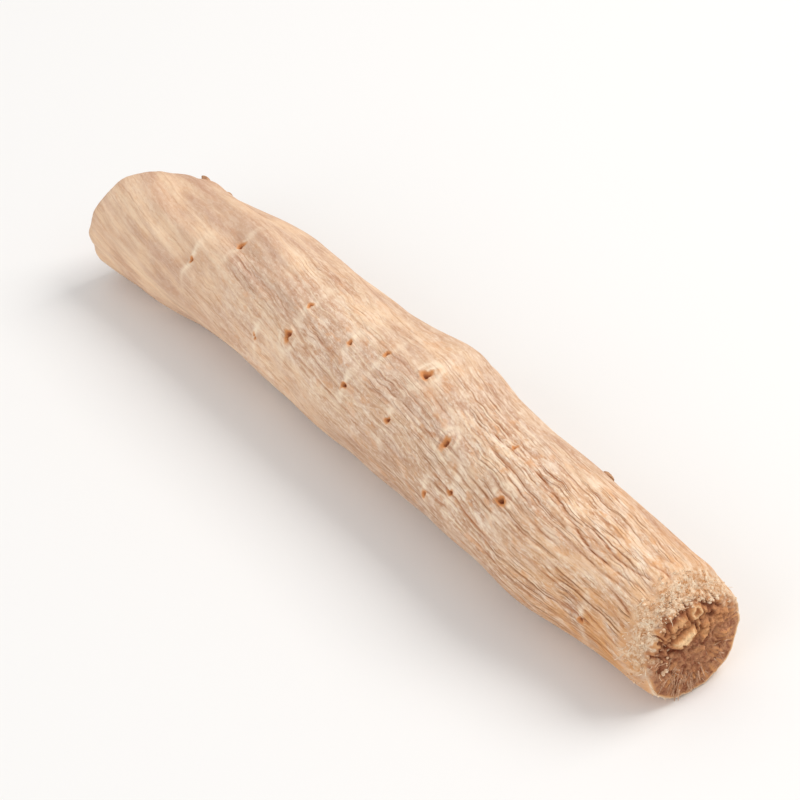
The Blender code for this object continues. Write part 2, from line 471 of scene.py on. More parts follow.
# %% [markdown]
# ## The two ends
#
# The far end is a plain worn cut. The near end was snapped: a pale crumbling shoulder slopes down
# from its rim on the upper left, a dark crevice runs inside that, and the middle stands out in
# fibrous ridges round one smooth shell-like lump. Below, short pale fibres run out to the rim.
# Sculpting by hand would do too, but a height over the plane of the cut, worked out from where a
# point lies across the root, can be changed later by changing one number.

# %% Crumbling of the torn rim
CRUMBLE_ANGLE = math.radians(120)
CRUMB_ANGLE = math.radians(105)


def crumbling(angle):
    """How much of the rim has crumbled away at an angle: all of it on the upper left."""
    return smooth_step(0.5 + 1.1 * math.cos(angle - CRUMBLE_ANGLE))


def crumbs_on_rim(angle):
    """How thick the loose crumbs lie at an angle."""
    return smooth_step(0.5 + 1.1 * math.cos(angle - CRUMB_ANGLE))


print("Straight up, the rim has crumbled by", round(crumbling(math.tau / 4), 2))

# %% Relief of the far cut
FAR_BUNDLES = (
    # share of the way out from the middle, and bundles in that ring
    (0.0, 1),
    (0.3, 9),
    (0.55, 16),
    (0.77, 24),
)
BUNDLE_WIDTH = 0.045
BUNDLE_HEIGHT = 0.12


def far_face(angle, reach):
    """Height of the far cut in mm, and how pale its rings of small bundles are."""
    place = Vector((reach * math.cos(angle), reach * math.sin(angle), 0))
    rough = 0.35 * noise.noise(place * 2.6) + 0.25 * noise.noise(place * 9)
    height = 0.3 * bell(reach, 0.34) - 0.3 * bell(reach - 0.62, 0.16)
    pale = 0.0
    for ring, bundles in FAR_BUNDLES:
        beads = 0.5 + 0.3 * math.cos(bundles * angle + 9 * ring + 3 * noise.noise(place * 3))
        faded = 0.8 + 0.8 * noise.noise(place * 2.3 + Vector((7, ring, 0)))
        gap = reach - ring - 0.08 * noise.noise(place * 2)
        pale = max(pale, faded * beads * bell(gap, BUNDLE_WIDTH))
    worn = 0.9 * smooth_step((reach - 0.8) / 0.2) ** 2
    height += BUNDLE_HEIGHT * pale + rough * (1 - reach**4) - worn
    return height, 0.2 + 0.4 * rough + 0.65 * pale


print("The far cut shows", sum(bundles for _, bundles in FAR_BUNDLES), "small bundles")

# %% Fibres of the torn end
PLUG_REACH = 0.79
RIM_HIGHLIGHT_REACH = 0.955


def fibres(y, z, reach, lower, jag, grit, spoke):
    """Height of the torn fibres in mm, and how pale they are near the lower rim, with a painted highlight
    along the rim itself.
    """
    # the middle stands out a little, in fibrous ridges
    plug = smooth_step((PLUG_REACH + 0.05 * jag - reach) / 0.12)
    strand = noise.noise(Vector(((y + 0.4 * z) / 2.0, (z - 0.4 * y) / 0.45, 3)))
    height = 0.25 * plug + 0.15 * jag
    height += plug * (0.4 * abs(strand) + 0.25 * jag + 0.2 * grit)
    # below, short pale fibres run out to the rim, which gets a thin painted highlight
    outside = lower * smooth_step((reach - 0.4) / 0.3)
    height += 0.35 * abs(spoke) * outside * smooth_step((1 - reach) / 0.1)
    pale = 0.5 * outside * smooth_step(4 * abs(spoke) - 0.9)
    return height, max(pale, 1.4 * lower * smooth_step((reach - RIM_HIGHLIGHT_REACH) / 0.03))


print("The fibrous middle is", round(2 * PLUG_REACH * station(1.0)[1] / MM), "mm wide")

# %% Crevices of the torn end
INNER_REACH = 0.6
SPLIT_ANGLE = math.radians(92)
FISSURE_SIZE = 1.5
CREVICE_DEPTH = 0.5


def split_side(angle):
    """1 on the upper side, where the flesh has split from the rim."""
    return smooth_step(0.2 + 1.3 * math.cos(angle - SPLIT_ANGLE))


def crevices(y, z, angle, reach, upper, jag, spoke):
    """How dark the crevices of the torn end are painted as shade, from 0 to 1."""
    # two run round the middle
    outer = bell(reach - PLUG_REACH - 0.07 * jag, 0.035)
    inner = bell(reach - INNER_REACH - 0.09 * jag, 0.03)
    dark = split_side(angle) * smooth_step(0.8 + 2.5 * spoke) * max(outer, 0.9 * inner)
    # small pits, and fissures that wind between the crumbs
    dark = max(dark, 0.7 * smooth_step(-1.0 - 3 * jag) * smooth_step(2 * upper))
    winding = abs(noise.noise(Vector((y + 0.3 * z, z - 0.3 * y, 8)) / FISSURE_SIZE)) / 0.14
    between = smooth_step((reach - 0.68) / 0.07) * smooth_step((0.98 - reach) / 0.07)
    return max(dark, 0.9 * upper * between * smooth_step(1.3 - winding))


print("The crevices are", CREVICE_DEPTH, "mm deep")

# %% Lumps of the torn end
LUMPS = (
    # sideways and upward place, half length and half width, tilt in degrees, height and flat side
    (-1.4, 1.8, 2.2, 1.9, 15, 0.85, 0.15),
    (-2.1, 3.9, 1.6, 0.9, 22, 0.5, 0.6),
    (2.3, 0.6, 1.7, 0.8, 75, 0.45, 1.0),
    (-4.2, 2.8, 0.9, 0.45, 40, 0.3, 1.0),
    (-4.2, 4.6, 0.8, 0.4, 35, 0.3, 1.0),
    (-2.4, 6.2, 0.9, 0.4, 20, 0.35, 1.0),
    (0.2, 6.2, 0.8, 0.4, 5, 0.35, 1.0),
    (3.1, 5.2, 0.7, 0.5, -30, 0.35, 1.0),
    (1.2, -2.0, 1.2, 0.5, -10, 0.2, 1.0),
    (-3.3, -2.0, 0.9, 0.6, 30, 0.2, 1.0),
)


def off_lump(y, z, lump, jag):
    """How far a point is from a lump's middle, where 1 is its ragged edge or its flat side."""
    middle_y, middle_z, long, wide, tilt, _, flat = lump
    lean = math.radians(tilt)
    off_y, off_z = y - middle_y, z - middle_z
    off_long = (off_y * math.cos(lean) + off_z * math.sin(lean)) / long
    off_wide = (off_z * math.cos(lean) - off_y * math.sin(lean)) / wide
    return max(math.hypot(off_long, off_wide) * (1 + 0.18 * jag), 1 + (off_wide - flat) * wide)


print("The torn end has", len(LUMPS), "lumps")

# %% The torn end as a whole
GRIT_SIZE = 0.5
JAG_SIZE = 1.1
SPOKES = 12
PITH_Y = 1.1
PITH_Z = 4.1
PITH_RADIUS = 0.75


def torn_face(y, z, angle, reach):
    """Height of the torn end in mm, how dark its crevices are painted as shade, and how pale its lumps and
    the painted highlight on its lower rim are.
    """
    upper = crumbling(angle)
    grit = noise.noise(Vector((y, z, 5)) / GRIT_SIZE)
    jag = noise.noise(Vector((y, z, 5)) / JAG_SIZE) + 0.5 * grit
    spoke_place = Vector((SPOKES * math.cos(angle), SPOKES * math.sin(angle), 2.2 * reach))
    spoke = noise.noise(spoke_place) + 0.3 * grit
    height, pale = fibres(y, z, reach, 1 - upper, jag, grit, spoke)
    dark = crevices(y, z, angle, reach, upper, jag, spoke)
    pale = max(pale, (0.35 + 0.5 * jag) * split_side(angle))
    # each lump has a dark line round it, painted shade in the groove at its edge
    for lump in LUMPS:
        rise = lump[5]
        off = off_lump(y, z, lump, jag)
        height += rise * math.sqrt(max(0.0, 1 - off**2))
        pale = max(pale, smooth_step(2 * (1.1 - off)) * min(1.0, 1.2 * rise))
        dark = max(dark, bell(off - 1.18, 0.13) * min(1.0, 1.2 * rise))
    # the small ring of the pith
    off = math.hypot(y - PITH_Y, z - PITH_Z)
    ring = bell(off - PITH_RADIUS, 0.25)
    height += 0.35 * ring
    pale = max(pale * smooth_step(1.5 * off - 0.6), 0.5 * bell(off, 0.5), 0.9 * ring)
    dark = max(dark * smooth_step(off - 0.6), 0.25 * bell(off, 0.3), 0.6 * bell(off - 1.35, 0.2))
    return height - CREVICE_DEPTH * dark, dark, min(1.0, max(0.0, pale))


print("The torn end stands out by", round(torn_face(-1.2, 1.5, 2, 0.2)[0], 1), "mm at its main lump")

# %% [markdown]
# ## The blank
#
# Every point of the finished root is a point of one plain cylinder, moved. Bmesh makes that
# cylinder: create_cone with equal radii, poke to give each end a middle point, and subdivide_edges
# to cut the sides into rings and the ends into circles. There are more cuts round the root than
# along it, because the creases are long and narrow.

# %% Make the blank
COLUMNS = 320
RINGS = 200
TORN_RINGS = 46
FAR_RINGS = 15
END_CROWDING = 0.15
TORN_CROWDING = 0.25


def cut(bm, test, cuts):
    """Cuts every edge for whose two ends the test holds."""
    edges = [edge for edge in bm.edges if test(*(vert.co for vert in edge.verts))]
    bmesh.ops.subdivide_edges(bm, edges=edges, cuts=cuts, use_grid_fill=True)


bm = bmesh.new()
bmesh.ops.create_cone(bm, cap_ends=True, segments=COLUMNS, radius1=1, radius2=1, depth=1)
bmesh.ops.poke(bm, faces=[face for face in bm.faces if len(face.verts) > 4])
cut(bm, lambda a, b: min(a.xy.length, b.xy.length) < 0.5 and a.z > 0, TORN_RINGS)
cut(bm, lambda a, b: min(a.xy.length, b.xy.length) < 0.5 and b.z < 0 and (a - b).length > 0.9, FAR_RINGS)
cut(bm, lambda a, b: abs(a.z - b.z) > 0.5, RINGS - 1)
print("The blank has", len(bm.verts), "points and", len(bm.faces), "faces")

# %% [markdown]
# ## From blank to root
#
# One function, on_root, says where a point of the blank goes, and a loop moves each point there. A
# displacement texture would give the height only. Moving the points also lets each keep what the
# materials need, as attributes: how deep it lies in a crease, a scar or the torn end, and its place
# in the straightened grain, so that the fine streaks wind with the wrinkles.

# %% Tones round and along the root
WARM_BAND = (185, 45)
GREY_BAND = (124, 15)
FAR_TOP_SHADE_BAND = (70, 40)
TOP_EDGE_SHADE_BAND = (48, 25)


def tones(share, angle):
    """How warm the bark is, most low down by the torn end, how grey, and how much painted shade browns it,
    from 0 to 1.
    """
    low = band(angle, WARM_BAND)
    warm = smooth_step((share - 0.72) / 0.28) * (0.4 + 0.6 * low)
    grey = band(angle, GREY_BAND) * smooth_step((share - 0.2) / 0.1) * smooth_step((0.72 - share) / 0.1)
    above = band(angle, FAR_TOP_SHADE_BAND) * smooth_step((0.4 - share) / 0.25)
    edge = band(angle, TOP_EDGE_SHADE_BAND) * smooth_step((share - 0.25) / 0.2)
    # painted shade: browner low down past the middle, on the upper side of the far third and along the top
    # edge
    brown_shade = low * smooth_step((share - 0.35) / 0.25) + 0.35 * above + 0.7 * edge
    return warm, grey, brown_shade


print("The warmest tone is", round(tones(1.0, math.radians(WARM_BAND[0]))[0], 2))

# %% Wear the ends
RIM_DEPTH = 1.0 * MM
RIM_REACH = 1.3 * MM
CRUMBLE_DEPTH = 2.0 * MM
CRUMBLE_REACH = 5.0 * MM
CRUMBLE_BACK = 1.6 * MM
FAR_SLANT = (0.08, 0.0)
TORN_SLANT = (-0.06, -0.045)
SLANT_REACH = 14 * MM
CHIP_BAND = (62, 24)
CHIP_DEPTH = 1.8 * MM
CHIP_REACH = 7 * MM


def end_fade(gap, reach):
    """1 at an end of the root, falling to 0 at a gap as long as the reach."""
    return max(0.0, 1 - gap / reach) ** 2


def worn_away(far, near, upper):
    """How much lower the bark is worn near either end."""
    worn = RIM_DEPTH * end_fade(far, RIM_REACH) + 0.25 * RIM_DEPTH * end_fade(near, RIM_REACH)
    return worn + CRUMBLE_DEPTH * upper * end_fade(near, CRUMBLE_REACH)


def end_shift(y, z, angle, reach, far, near, upper):
    """How far the slants, the crumbled rim and a chip move a point along the root."""
    shift = 0.0
    for slant, gap in ((FAR_SLANT, far), (TORN_SLANT, near)):
        shift += (slant[0] * y + slant[1] * z) * (1 - smooth_step(gap / SLANT_REACH))
    back = max(0.0, (reach - PLUG_REACH) / (1 - PLUG_REACH)) ** 1.7
    shift -= CRUMBLE_BACK * upper * back * end_fade(near, CRUMBLE_REACH)
    chip = CHIP_DEPTH * band(angle, CHIP_BAND) * end_fade(far, CHIP_REACH)
    return shift + chip * smooth_step(2 * reach - 1)


print("The torn rim has crumbled back by up to", round(CRUMBLE_BACK / MM, 1), "mm")

# %% Lay crumbs on the torn end
CRUMB_REACH = 4.2 * MM
INNER_EDGE = 0.82
GRIT_HEIGHT = 0.12 * MM
GRIT_SHARE = 0.014


def crumbs_on_bark(angle, near):
    """How thick the crumbs lie on the bark, from the rim back to a ragged edge."""
    ragged = noise.noise(Vector((2 * math.cos(angle), 2 * math.sin(angle), 0)) * 3)
    return crumbs_on_rim(angle) * smooth_step((CRUMB_REACH + 1.5 * MM * ragged - near) / (3 * MM))


def crumbs_on_face(y, z, angle, reach):
    """How thick the crumbs lie on the torn face, from the rim in to a patchy edge."""
    patchy = noise.noise(Vector((y, z, 9 * MM)) / MM) + 0.6 * noise.noise(Vector((y, z, 0)) / (0.5 * MM))
    inner_edge = INNER_EDGE + 0.06 * max(0.0, -math.cos(angle)) ** 2 + 0.16 * patchy
    return crumbs_on_rim(angle) * smooth_step((reach - inner_edge) / 0.08)


def gritty(x, y, z, crumb):
    """The same place, pushed in and out by grit where crumbs lie."""
    place = Vector((x, y, z))
    grit = noise.noise(place / (1.1 * MM)) + 0.5 * noise.noise(place / (0.6 * MM))
    wider = 1 + GRIT_SHARE * crumb * grit
    return x + GRIT_HEIGHT * crumb * grit, y * wider, z * wider


print("Crumbs reach", round(CRUMB_REACH / MM, 1), "mm back over the bark")

# %% Say where a point goes
FOLD_FADE = 7 * MM
RIM_HIGHLIGHT_WIDTH = 0.5 * MM
NEARLY = 0.999


def on_root(share, start, reach):
    """Place of a point of the blank, and its values for the materials."""
    angle = start + turn(share)
    side, half_width, half_height = station(share)
    far, near = share * LENGTH, (1 - share) * LENGTH
    upper = crumbling(angle)
    crumb = crumbs_on_bark(angle, near)
    relief = folds(share, start) * (0.4 + 0.6 * smooth_step(far / FOLD_FADE))
    relief += swelling(share, angle) - worn_away(far, near, upper)
    dark = stain = mark = pale = wrinkled = 0.0
    if reach > NEARLY:
        wrinkled = wrinkling(share, angle, start)
        depth, dark = creases(share, start, wrinkled)
        pit, stain, mark = scar(share, angle)
        # a thin painted highlight along the lower torn rim, carried with the pale marks
        mark = max(mark, (1 - upper) * (1 - near / RIM_HIGHLIGHT_WIDTH))
        relief += pit - depth + far_folds(share, start)
    y = (half_width + relief) * math.cos(angle) * reach
    z = (half_height + relief) * math.sin(angle) * reach
    x = (share - 0.5) * LENGTH + end_shift(y, z, angle, reach, far, near, upper)
    if share > NEARLY:
        height, dark, pale = torn_face(y / MM, z / MM, angle, reach)
        x += height * MM
        crumb = crumbs_on_face(y, z, angle, reach)
    elif reach < NEARLY:
        height, pale = far_face(angle, reach)
        x -= height * MM
    if crumb > 0:
        x, y, z = gritty(x, y, z, crumb)
    height = clearance(share) + half_height + z
    place = Vector((x - BOX_MIDDLE_X, side + y - BOX_MIDDLE_Y, max(0.0, height)))
    return place, (dark, stain, mark, crumb, pale, wrinkled, *tones(share, angle))


print("The upper edge passes through", [round(1000 * side, 1) for side in on_root(0.5, 0.5, 1.0)[0]], "mm")

# %% Cut finer faces round the scars
SCAR_SHARE = 0.65


def crowded(even):
    """Rings closer together towards the ends, and most so at the torn one."""
    return even + TORN_CROWDING * even * (1 - even) - END_CROWDING * math.sin(math.tau * even) / math.tau


def blank_place(co):
    """Share of the length, angle before winding, and reach of a point of the blank."""
    return crowded(co.z + 0.5), math.atan2(co.y, co.x), min(1.0, co.xy.length)


near_scars = set()
for face in bm.faces:
    share, start, reach = blank_place(face.calc_center_median())
    if reach < 0.9:
        continue
    for place, around, width in scars:
        if abs(share - place) * LENGTH < SCAR_SHARE * width:
            along, across = bark_distance(share, start + turn(share), place, around)
            if abs(across) < SCAR_SHARE * width:
                near_scars.update(face.edges)
bmesh.ops.subdivide_edges(bm, edges=list(near_scars), cuts=2, use_grid_fill=True)
print("Cut", len(near_scars), "edges finer round the scars")

# %% Move every point
CENTRE_CROWDING = 0.8
VALUES = ("crease_shade", "scar", "mark", "crumb", "pale", "wrinkle", "warm", "grey", "brown_shade")
layers = [bm.verts.layers.float.new(name) for name in VALUES]
face_layer = bm.verts.layers.float.new("face")
grain_layer = bm.verts.layers.float_vector.new("grain")
for vert in bm.verts:
    share, start, reach = blank_place(vert.co)
    reach = reach**CENTRE_CROWDING if reach < NEARLY else 1.0
    place, values = on_root(share, start, reach)
    for layer, value in zip(layers, values):
        vert[layer] = value
    vert[face_layer] = smooth_step((1 - reach) * 25)
    radius = NOISE_RADIUS * reach
    vert[grain_layer] = (radius * math.cos(start), radius * math.sin(start), share * LENGTH / MM)
    vert.co = place
root_mesh = bpy.data.meshes.new("root_bark")
bm.to_mesh(root_mesh)
bm.free()
root_mesh.shade_smooth()
root = in_scene(bpy.data.objects.new("root_bark", root_mesh))
print("The root has", len(root_mesh.vertices), "points")

# %% [markdown]
# ## The bark's finish
#
# Dried bark is matt. Its ridges get painted highlights and its creases painted orange-brown shade. Its
# colour is built up as a painter would: a ground, then thin layers, each let through by a noise or by an
# attribute. A picture wrapped round the root would stretch at the ends, but noise that is read in the
# straightened grain winds with every wrinkle. First come the ground and its broad tones, with painted
# shade that browns the bark low down, on the far third's upper side and along the top edge.

# %% Helpers for materials
class Paint:
    """Adds nodes to one material and links them."""

    def __init__(self, material):
        self.tree = material.node_tree
        self.colour = None

    def node(self, kind, inputs=(), **settings):
        made = self.tree.nodes.new(kind)
        for key, value in settings.items():
            setattr(made, key, value)
        for key, value in dict(inputs).items():
            if isinstance(value, bpy.types.NodeSocket):
                self.tree.links.new(value, made.inputs[key])
            else:
                made.inputs[key].default_value = value
        return made

    def attribute(self, name, output="Fac"):
        return self.node("ShaderNodeAttribute", attribute_name=name).outputs[output]

    def noise(self, vector, size, stretch=1.0, detail=3.0, roughness=0.55):
        """Noise with lumps of a size across the grain, stretched along it, in millimetres."""
        scale = (1 / size, 1 / size, 1 / size / stretch)
        place = self.node("ShaderNodeMapping", {"Vector": vector, "Scale": scale})
        settings = {"Vector": place.outputs[0], "Scale": 1.0, "Detail": detail, "Roughness": roughness}
        return self.node("ShaderNodeTexNoise", settings).outputs["Fac"]

    def spread(self, value, low, high):
        """Stretches values between low and high to the range from 0 to 1."""
        settings = {"Value": value, "From Min": low, "From Max": high}
        return self.node("ShaderNodeMapRange", settings).outputs[0]

    def math(self, operation, value, other=0.0):
        return self.node("ShaderNodeMath", {0: value, 1: other}, operation=operation).outputs[0]

    def product(self, value, other):
        return self.math("MULTIPLY", value, other)

    def vector(self, operation, value, other):
        return self.node("ShaderNodeVectorMath", {0: value, 1: other}, operation=operation).outputs[0]

    def wavered(self, vector, size, amount):
        """The same places, pushed about by a noise so that straight lines waver."""
        push = self.node("ShaderNodeTexNoise", {"Vector": vector, "Scale": 1 / size, "Detail": 1.0})
        centred = self.vector("SUBTRACT", push.outputs["Color"], (0.5, 0.5, 0.5))
        return self.vector("ADD", vector, self.vector("MULTIPLY", centred, (amount, amount, amount)))

    def lines(self, grain, spacing, length, width):
        """1 on lines side by side along the grain, where each is open, and 0 off them."""
        count = round(math.tau * NOISE_RADIUS / spacing)
        parts = self.node("ShaderNodeSeparateXYZ", {0: grain}).outputs
        place = self.product(self.math("ARCTAN2", parts[1], parts[0]), count / math.tau)
        nearest = self.math("ROUND", place)
        gap = self.product(self.math("ABSOLUTE", self.math("SUBTRACT", place, nearest)), spacing)
        own = self.node("ShaderNodeCombineXYZ", {0: self.product(nearest, 0.7), 2: parts[2]}).outputs[0]
        is_open = self.spread(self.noise(own, 1.0, length, 1.0), 0.42, 0.58)
        return self.product(self.spread(gap, width, 0.0), is_open)

    def mix(self, amount, below, above):
        """The colour below, hidden by the one above by an amount from 0 to 1."""
        settings = {"Factor": amount, 6: below, 7: above}
        return self.node("ShaderNodeMix", settings, data_type="RGBA").outputs[2]

    def cover(self, shade, amount, strength=None):
        """Lays one more shade over the colour so far."""
        if strength is not None:
            amount = self.product(amount, strength)
        self.colour = self.mix(amount, self.colour, shade)

    def finish(self, shader, height):
        """Gives the shader the colour, and a relief whose height is in metres."""
        bump = self.node("ShaderNodeBump", {"Height": height, "Strength": 1.0, "Distance": 1.0})
        self.tree.links.new(self.colour, shader.inputs["Base Color"])
        self.tree.links.new(bump.outputs[0], shader.inputs["Normal"])


def tint(red, green, blue):
    """A colour read off a screen, from 0 to 255 a channel, as the linear values that nodes use."""
    linear = [
        c / 12.92 if c <= 0.04045 else ((c + 0.055) / 1.055) ** 2.4
        for c in (red / 255, green / 255, blue / 255)
    ]
    return (*linear, 1)


print("Warm tan is", [round(value, 3) for value in tint(228, 195, 167)])

# %% Paint the ground
MATT = 0.85
MEAN_TAN = tint(224, 186, 152)
DEEP_TAN = tint(202, 161, 133)
TAN = tint(236, 198, 162)
PALE_TAN = tint(248, 218, 184)
SHADED_TAN = tint(200, 158, 132)
GREY_TAN = tint(184, 147, 127)
BROWN_SHADE = tint(166, 118, 88)

bark, shader = node_material("bark", MEAN_TAN[:3], MATT)
paint = Paint(bark)
grain = paint.attribute("grain", "Vector")
wrinkle = paint.attribute("wrinkle")
patches = paint.spread(paint.noise(grain, 5.0, 2.2, 4.0), 0.4, 0.6)
paint.colour = paint.mix(patches, DEEP_TAN, TAN)
bands = paint.spread(paint.noise(grain, 1.6, 9.0, 3.0), 0.38, 0.62)
paint.cover(PALE_TAN, bands, 0.55)
broad = paint.spread(paint.noise(grain, 2.6, 7.0, 2.0), 0.55, 0.4)
paint.cover(SHADED_TAN, broad, paint.product(paint.spread(wrinkle, 0.5, 0.1), 0.45))
paint.cover(GREY_TAN, paint.attribute("grey"), 0.6)
# painted shade, laid on as brown where the tones say
paint.cover(BROWN_SHADE, paint.attribute("brown_shade"), 0.52)
print("The ground takes", len(paint.tree.nodes), "nodes")

# %% [markdown]
# ## Streaks, scurf and ridges
#
# Where the bark is wrinkled, brown streaks, pale dust, flakes of scurf, painted highlights along the
# ridges and rusty patches lie along the grain, and low down by the torn end it is warmer. Each layer is
# one noise, small across the grain and stretched along it. They could be brushed on in Texture Paint,
# but these layers follow by themselves when the form of the root is changed.

# %% Paint streaks, scurf and ridges
STREAK = tint(184, 132, 98)
DUST_AND_HIGHLIGHT = tint(248, 226, 204)
SCURF = tint(254, 238, 216)
RIDGE_HIGHLIGHT = tint(252, 230, 196)
RUST = tint(222, 160, 108)
AMBER = tint(226, 162, 96)

some = paint.spread(wrinkle, -0.1, 0.9)
streaks = paint.spread(paint.noise(grain, 0.42, 6.0, 4.0, 0.65), 0.5, 0.64)
paint.cover(STREAK, streaks, some)
# pale dust, which also serves as a painted highlight on the wrinkled bark
dust_and_highlight = paint.spread(paint.noise(grain, 1.1, 3.0, 4.0, 0.7), 0.47, 0.6)
paint.cover(DUST_AND_HIGHLIGHT, paint.product(dust_and_highlight, some), 0.75)
scurf = paint.spread(paint.noise(grain, 0.36, 2.5, 4.0, 0.7), 0.5, 0.64)
paint.cover(SCURF, scurf, paint.product(some, 0.7))
wavy = paint.wavered(paint.wavered(grain, 4.0, 1.3), 1.3, 0.2)
# painted highlights: pale wavering lines along the ridges
paint.cover(RIDGE_HIGHLIGHT, paint.lines(wavy, 0.8, 6.0, 0.14), paint.product(some, 0.8))
rust = paint.spread(paint.noise(grain, 1.7, 1.8, 3.0, 0.65), 0.56, 0.66)
paint.cover(RUST, paint.product(rust, some), 0.6)
glow = paint.spread(paint.noise(grain, 2.5, 2.0, 4.0), 0.36, 0.56)
paint.cover(AMBER, paint.product(paint.attribute("warm"), glow), 0.9)
print("With the streaks it takes", len(paint.tree.nodes), "nodes")

# %% [markdown]
# ## Lines, creases and scars
#
# The creases are painted darker as painted shade, the scars are orange with darker middles, pale marks
# run out from the scars, and a painted highlight runs along the lower torn rim. Those that the points
# were moved for are coloured by their attributes. Lines too thin for the mesh run between them, painted
# dark as shade too, and the material makes those by itself: even lines, pushed about by noise, each
# open in places.

# %% Paint marks, lines, creases and scars
MARK_AND_RIM_HIGHLIGHT = tint(250, 228, 200)
# painted shade for the fine lines and the creases
LINE_SHADE = tint(168, 100, 50)
CREASE_SHADE = tint(170, 98, 46)
SCAR_RIM = tint(214, 146, 90)
SCAR_MIDDLE = tint(130, 62, 30)

# the scars' pale marks, and the painted highlight along the lower torn rim
paint.cover(MARK_AND_RIM_HIGHLIGHT, paint.attribute("mark"))
wide = paint.lines(wavy, 0.95, 8.0, 0.15)
thin = paint.lines(wavy, 0.55, 5.0, 0.1)
both_lines = paint.math("MAXIMUM", wide, paint.product(thin, 0.7))
lined = paint.spread(paint.noise(grain, 4.0, 3.0, 2.0), 0.36, 0.56)
fine = paint.product(both_lines, paint.product(paint.spread(wrinkle, -0.1, 0.85), lined))
# painted shade in the thin lines
paint.cover(LINE_SHADE, fine)
crease_shade = paint.attribute("crease_shade")
# painted shade down in the creases
paint.cover(CREASE_SHADE, paint.spread(crease_shade, 0.1, 0.9))
stain = paint.attribute("scar")
paint.cover(SCAR_RIM, paint.spread(stain, 0.0, 0.6))
paint.cover(SCAR_MIDDLE, paint.spread(stain, 0.76, 1.02))
print("With the lines it takes", len(paint.tree.nodes), "nodes")

# %% [markdown]
# ## The flesh inside
#
# Inside, the root is brown and fibrous, paler on its lumps, with a painted highlight along its lower
# rim. Its crevices, and the gaps between the pale crumbs round the upper rim, are painted dark as
# shade. A second material on the end faces would begin at a hard edge. Mixed by attributes in one
# material, bark, flesh and crumbs run into one another.

# %% Paint the flesh and the crumbs
DARK_FLESH = tint(152, 92, 60)
FLESH = tint(206, 148, 106)
PALE_FLESH = tint(212, 148, 94)
PALEST_FLESH = tint(250, 208, 158)
# painted shade for the crevices and for the gaps between crumbs
CREVICE_SHADE = tint(134, 66, 32)
DARK_CRUMB = tint(200, 142, 92)
PALE_CRUMB = tint(246, 222, 192)
CRUMB_CREVICE_SHADE = tint(150, 84, 44)

face = paint.attribute("face")
position = paint.node("ShaderNodeTexCoord").outputs["Object"]
mottle = paint.spread(paint.noise(position, 0.0011, 1.0, 4.0, 0.65), 0.4, 0.62)
flesh = paint.mix(mottle, DARK_FLESH, FLESH)
pale = paint.attribute("pale")
flesh = paint.mix(paint.spread(pale, 0.0, 0.5), flesh, PALE_FLESH)
# the palest flesh includes the painted highlight along the lower rim
flesh = paint.mix(paint.spread(pale, 0.45, 1.0), flesh, PALEST_FLESH)
# painted shade in the crevices of the torn end
paint.cover(paint.mix(crease_shade, flesh, CREVICE_SHADE), face)
crumb = paint.attribute("crumb")
grit = paint.spread(paint.noise(position, 0.0009, 1.0, 4.0, 0.75), 0.38, 0.6)
crumbly = paint.mix(grit, DARK_CRUMB, PALE_CRUMB)
# painted shade between the crumbs
paint.cover(paint.mix(paint.product(crease_shade, face), crumbly, CRUMB_CREVICE_SHADE), crumb)
print("With the flesh it takes", len(paint.tree.nodes), "nodes")

# %% [markdown]
# ## A rough surface
#
# The bark feels like fine sandpaper, and the torn end is rougher. Relief as small as that would need
# millions of faces, so a bump node bends the shading alone, from a height in metres. A tenth of a
# millimetre is enough, and much more would look like rubber.

# %% Roughen the bark and the torn end
BARK_GRIT = 0.09 * MM
FLESH_GRIT = 0.3 * MM
LINE_DEPTH = 0.14 * MM

rough_bark = paint.product(paint.noise(grain, 0.3, 3.0, 4.0, 0.65), BARK_GRIT)
loose = paint.math("MAXIMUM", face, crumb)
rough_cut = paint.product(paint.noise(position, 0.0004, 1.0, 3.0, 0.6), paint.product(loose, FLESH_GRIT))
rough = paint.math("ADD", rough_bark, rough_cut)
paint.finish(shader, paint.math("SUBTRACT", rough, paint.product(fine, LINE_DEPTH)))
root_mesh.materials.append(bark)
print("The bark's material has", len(paint.tree.nodes), "nodes")

# %% [markdown]
# ## Small shapes
#
# Grains of dry flesh cling to the torn rim, fibres stick out of it, and stubs of rootlets stand on
# the bark. Each kind is one small shape, made once and then copied into one mesh by a plain loop.
# Geometry nodes could scatter them too, but a loop shows every step.

# %% Small shapes to copy
from mathutils import Matrix

CRUMB_ROUGHNESS = 0.35


def kept(bm, name):
    """Turns what was built into a mesh and hands it back."""
    mesh = bpy.data.meshes.new(name)
    bm.to_mesh(mesh)
    bm.free()
    return mesh


def tapered(name, sides, tip, cuts):
    """A cone from 0 to 1 along Z, with cuts along it so that it can bend."""
    bm = bmesh.new()
    up = Matrix.Translation((0, 0, 0.5))
    bmesh.ops.create_cone(bm, cap_ends=True, segments=sides, radius1=1, radius2=tip, depth=1, matrix=up)
    cut(bm, lambda a, b: abs(a.z - b.z) > 0.5, cuts)
    return kept(bm, name)


bm = bmesh.new()
bmesh.ops.create_icosphere(bm, subdivisions=2, radius=1)
for vert in bm.verts:
    vert.co *= 1 + CRUMB_ROUGHNESS * noise.noise(vert.co * 1.7)
crumb_shape = kept(bm, "crumb_shape")
fibre_shape = tapered("fibre_shape", 5, 0.35, 4)
stub_shape = tapered("stub_shape", 9, 0.55, 5)
print("A crumb has", len(crumb_shape.polygons), "faces, a fibre", len(fibre_shape.polygons))

